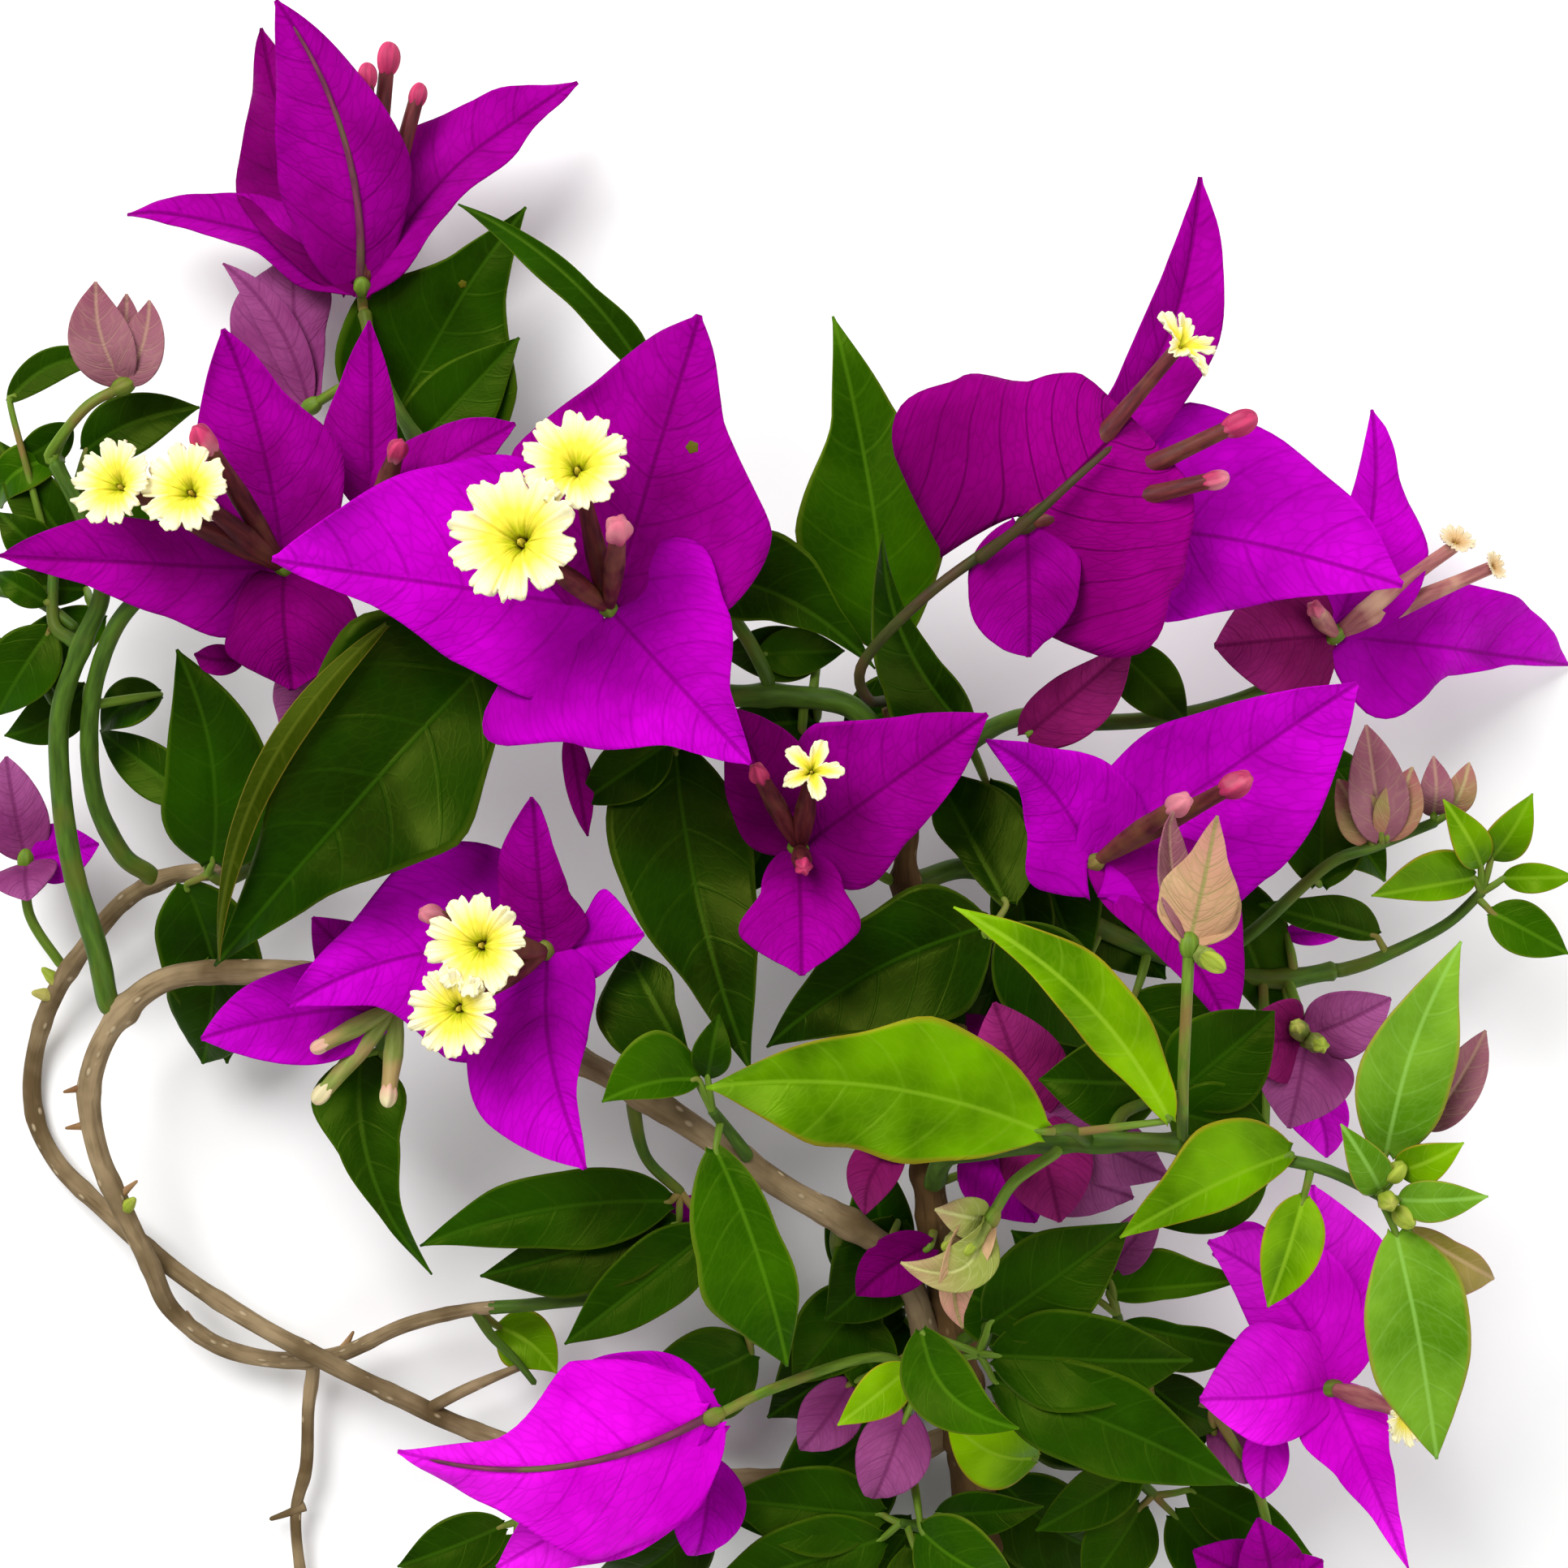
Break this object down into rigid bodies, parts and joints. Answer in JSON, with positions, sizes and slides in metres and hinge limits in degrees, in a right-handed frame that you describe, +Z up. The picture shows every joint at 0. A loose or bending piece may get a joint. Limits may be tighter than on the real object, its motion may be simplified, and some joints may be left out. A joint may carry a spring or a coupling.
{
  "type": "cut bougainvillea branch",
  "caption": "Cut flowering branch with looping woody whips, papery magenta blooms and pointed leaves, lying flat.",
  "frame": {"origin": "middle of the footprint, at the level of the surface the branch lies on", "axes": "+Z up off the surface, +Y from the cut stem towards the topmost bloom, +X to the right as seen from above"},
  "size_m": [0.2174, 0.2246, 0.0828],
  "materials": {
    "bark": "dry grey-brown bark",
    "green_stem": "satin green bark",
    "magenta_bract": "papery matt",
    "pink_bract": "papery matt",
    "young_bract": "papery matt",
    "dark_leaf": "waxy satin",
    "bright_leaf": "waxy satin"
  },
  "bodies": {
    "root": {"main_stem": "bark", "centre_bough": "bark", "left_bough": "bark", "left_bough_bend": "bark", "left_bough_return": "bark", "left_green_tip": "bark", "outer_bough": "bark", "outer_bough_bend": "bark", "outer_bough_tip": "bark", "green_shoot_outer": "green_stem", "green_shoot_inner": "green_stem", "upper_left_bough": "green_stem", "right_top_bough": "green_stem", "upper_right_bough": "green_stem", "right_bough": "green_stem", "lower_right_bough": "bark", "dead_twig": "bark", "bloom_top_left": "magenta_bract", "bloom_mauve_left": "pink_bract", "bloom_left": "magenta_bract", "bloom_left_rear": "magenta_bract", "bloom_centre": "magenta_bract", "bloom_mid_left": "magenta_bract", "bloom_mid_left_rear": "magenta_bract", "bloom_right": "magenta_bract", "bloom_mid_right": "magenta_bract", "bud_bloom_front": "young_bract", "bloom_small_centre": "magenta_bract", "bloom_far_right": "magenta_bract", "bloom_low_left": "magenta_bract", "bloom_low_right": "magenta_bract", "bloom_pink_right": "pink_bract", "bloom_pink_behind": "magenta_bract", "bloom_left_edge": "magenta_bract", "bud_blooms_left": "young_bract", "bloom_bottom_edge": "magenta_bract", "curly_bud": "young_bract", "leaves_top_left": "dark_leaf", "leaves_top_centre": "dark_leaf", "leaves_behind_centre": "dark_leaf", "leaf_large_left": "dark_leaf", "leaves_left_loop": "dark_leaf", "leaves_left_edge": "dark_leaf", "leaves_mid_left": "dark_leaf", "leaves_below_left": "dark_leaf", "leaves_below_centre": "dark_leaf", "leaves_below_front": "dark_leaf", "leaves_bright": "bright_leaf", "leaves_end": "bright_leaf", "leaves_right_edge": "bright_leaf", "bud_blooms_right": "dark_leaf", "sprig_top_right": "dark_leaf", "leaves_centre_dark": "dark_leaf", "leaves_centre_right": "dark_leaf", "leaves_low_centre": "dark_leaf", "leaves_low_middle": "dark_leaf", "leaves_low_bottom": "dark_leaf", "leaves_low_edge": "dark_leaf", "leaves_low_right": "dark_leaf", "leaves_low_left": "dark_leaf"}
  },
  "joints": []
}
